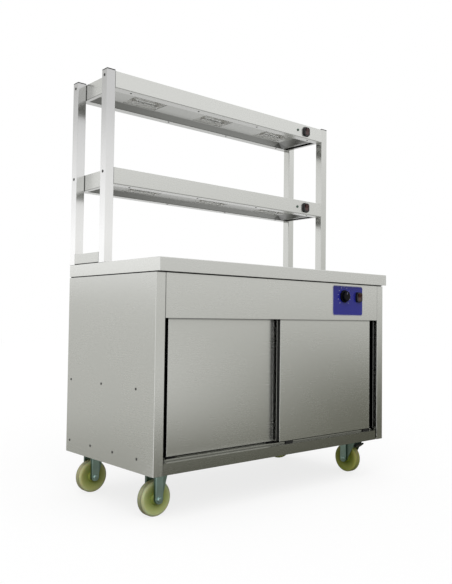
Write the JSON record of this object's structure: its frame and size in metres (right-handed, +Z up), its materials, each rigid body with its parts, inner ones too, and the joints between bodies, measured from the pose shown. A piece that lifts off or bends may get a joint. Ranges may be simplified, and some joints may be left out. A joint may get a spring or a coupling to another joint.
{
  "type": "mobile hot cupboard",
  "caption": "Heated stainless cabinet on castors with sliding doors, a flat worktop and a tiered gantry of heat-lamp shelves over its rear half.",
  "frame": {"origin": "on the floor, under the middle of the whole object", "axes": "+X to the right along the front, +Y from the front to the back, +Z up"},
  "size_m": [1.269, 0.621, 1.64],
  "materials": {
    "satin_steel": "satin stainless sheet, fine brushed grain",
    "mill_steel": "dull mill-finish stainless",
    "bright_steel": "bright annealed stainless",
    "zinc_steel": "zinc-plated pressed steel",
    "cream_nylon": "natural moulded nylon, slightly translucent",
    "black_plastic": "black moulded plastic",
    "black_rubber": "black rubber strip",
    "white_nylon": "natural white nylon",
    "blue_plate": "blue printed control plate",
    "amber_rocker": "translucent red-brown rocker",
    "green_lens": "dark green lens",
    "quartz_glass": "clear quartz",
    "white_ceramic": "white glazed ceramic",
    "element_sheath": "dark heat-tinted sheath"
  },
  "bodies": {
    "root": {"back_panel": "satin_steel", "base_channels": "mill_steel", "bottom_rail": "satin_steel", "cabinet_floor": "satin_steel", "cable_gland": "black_plastic", "castor_bolts": "zinc_steel", "castor_top_plates": "zinc_steel", "control_fascia": "satin_steel", "control_plate": "blue_plate", "element_cover": "satin_steel", "fixed_axles": "zinc_steel", "fixed_forks": "zinc_steel", "front_left_post": "satin_steel", "front_right_post": "satin_steel", "gantry_bolts": "zinc_steel", "gantry_crossbars": "satin_steel", "heating_elements": "element_sheath", "indicator_lamps": "green_lens", "inner_shelf": "satin_steel", "lamp_holders": "white_ceramic", "lamp_tubes": "quartz_glass", "left_side_panel": "satin_steel", "lower_lamp_panel": "satin_steel", "lower_reflectors": "bright_steel", "lower_shelf_tray": "satin_steel", "panel_screws": "bright_steel", "post_caps": "black_plastic", "rear_left_post": "satin_steel", "rear_right_post": "satin_steel", "right_side_panel": "satin_steel", "shelf_brackets": "mill_steel", "switch_bodies": "black_plastic", "terminal_block": "white_nylon", "thermostat_body": "black_plastic", "upper_door_guide": "mill_steel", "upper_lamp_panel": "satin_steel", "upper_reflectors": "bright_steel", "upper_shelf_tray": "satin_steel", "worktop": "satin_steel", "worktop_seal": "black_rubber"},
    "door_left": {"door_left_outer": "satin_steel", "door_left_inner": "satin_steel", "door_left_glides": "black_plastic"},
    "door_right": {"door_right_outer": "satin_steel", "door_right_inner": "satin_steel", "door_right_glides": "black_plastic"},
    "knob": {"thermostat_knob": "black_plastic"},
    "main_rocker_body": {"main_rocker": "amber_rocker"},
    "upper_rocker_body": {"upper_rocker": "amber_rocker"},
    "lower_rocker_body": {"lower_rocker": "amber_rocker"},
    "front_left_roller": {"front_left_wheel": "cream_nylon"},
    "rear_left_roller": {"rear_left_wheel": "cream_nylon"},
    "front_right_castor": {"front_right_fork": "zinc_steel", "front_right_axle": "zinc_steel"},
    "rear_right_castor": {"rear_right_fork": "zinc_steel", "rear_right_axle": "zinc_steel"},
    "front_right_roller": {"front_right_wheel": "cream_nylon"},
    "rear_right_roller": {"rear_right_wheel": "cream_nylon"},
    "front_right_pedal": {"front_right_brake_pedal": "black_plastic"},
    "rear_right_pedal": {"rear_right_brake_pedal": "black_plastic"}
  },
  "joints": [
    {"name": "door_left_slide", "type": "slide", "parent": "root", "child": "door_left", "axis": [1, 0, 0], "range_m": [-0.0245, 0.5745]},
    {"name": "door_right_slide", "type": "slide", "parent": "root", "child": "door_right", "axis": [1, 0, 0], "range_m": [-0.5925, 0.0065]},
    {"name": "thermostat_turn", "type": "hinge", "parent": "root", "child": "knob", "pos_m": [0.355, -0.292, 0.796], "axis": [0, 1, 0], "range_deg": [0, 270]},
    {"name": "main_rocker_tilt", "type": "hinge", "parent": "root", "child": "main_rocker_body", "pos_m": [0.451, -0.298, 0.7945], "axis": [-1, 0, 0], "range_deg": [0, 24]},
    {"name": "upper_rocker_tilt", "type": "hinge", "parent": "root", "child": "upper_rocker_body", "pos_m": [0.479, 0.0445, 1.6025], "axis": [-1, 0, 0], "range_deg": [0, 24]},
    {"name": "lower_rocker_tilt", "type": "hinge", "parent": "root", "child": "lower_rocker_body", "pos_m": [0.479, 0.0445, 1.2325], "axis": [-1, 0, 0], "range_deg": [0, 24]},
    {"name": "front_left_spin", "type": "hinge", "parent": "root", "child": "front_left_roller", "pos_m": [-0.555, -0.19, 0.0625], "axis": [0, 1, 0], "continuous": true},
    {"name": "rear_left_spin", "type": "hinge", "parent": "root", "child": "rear_left_roller", "pos_m": [-0.555, 0.242, 0.0625], "axis": [0, 1, 0], "continuous": true},
    {"name": "front_right_swivel", "type": "hinge", "parent": "root", "child": "front_right_castor", "pos_m": [0.555, -0.19, 0.14], "axis": [0, 0, 1], "continuous": true},
    {"name": "front_right_spin", "type": "hinge", "parent": "front_right_castor", "child": "front_right_roller", "pos_m": [0.555, -0.154, 0.0625], "axis": [-1, 0, 0], "continuous": true},
    {"name": "front_right_brake", "type": "hinge", "parent": "front_right_castor", "child": "front_right_pedal", "pos_m": [0.555, -0.207, 0.122], "axis": [-1, 0, 0], "range_deg": [-20, 0]},
    {"name": "rear_right_swivel", "type": "hinge", "parent": "root", "child": "rear_right_castor", "pos_m": [0.555, 0.242, 0.14], "axis": [0, 0, 1], "continuous": true},
    {"name": "rear_right_spin", "type": "hinge", "parent": "rear_right_castor", "child": "rear_right_roller", "pos_m": [0.52382, 0.26, 0.0625], "axis": [-0.5, -0.866, 0], "continuous": true},
    {"name": "rear_right_brake", "type": "hinge", "parent": "rear_right_castor", "child": "rear_right_pedal", "pos_m": [0.56972, 0.2335, 0.122], "axis": [-0.5, -0.866, 0], "range_deg": [-20, 0]}
  ]
}
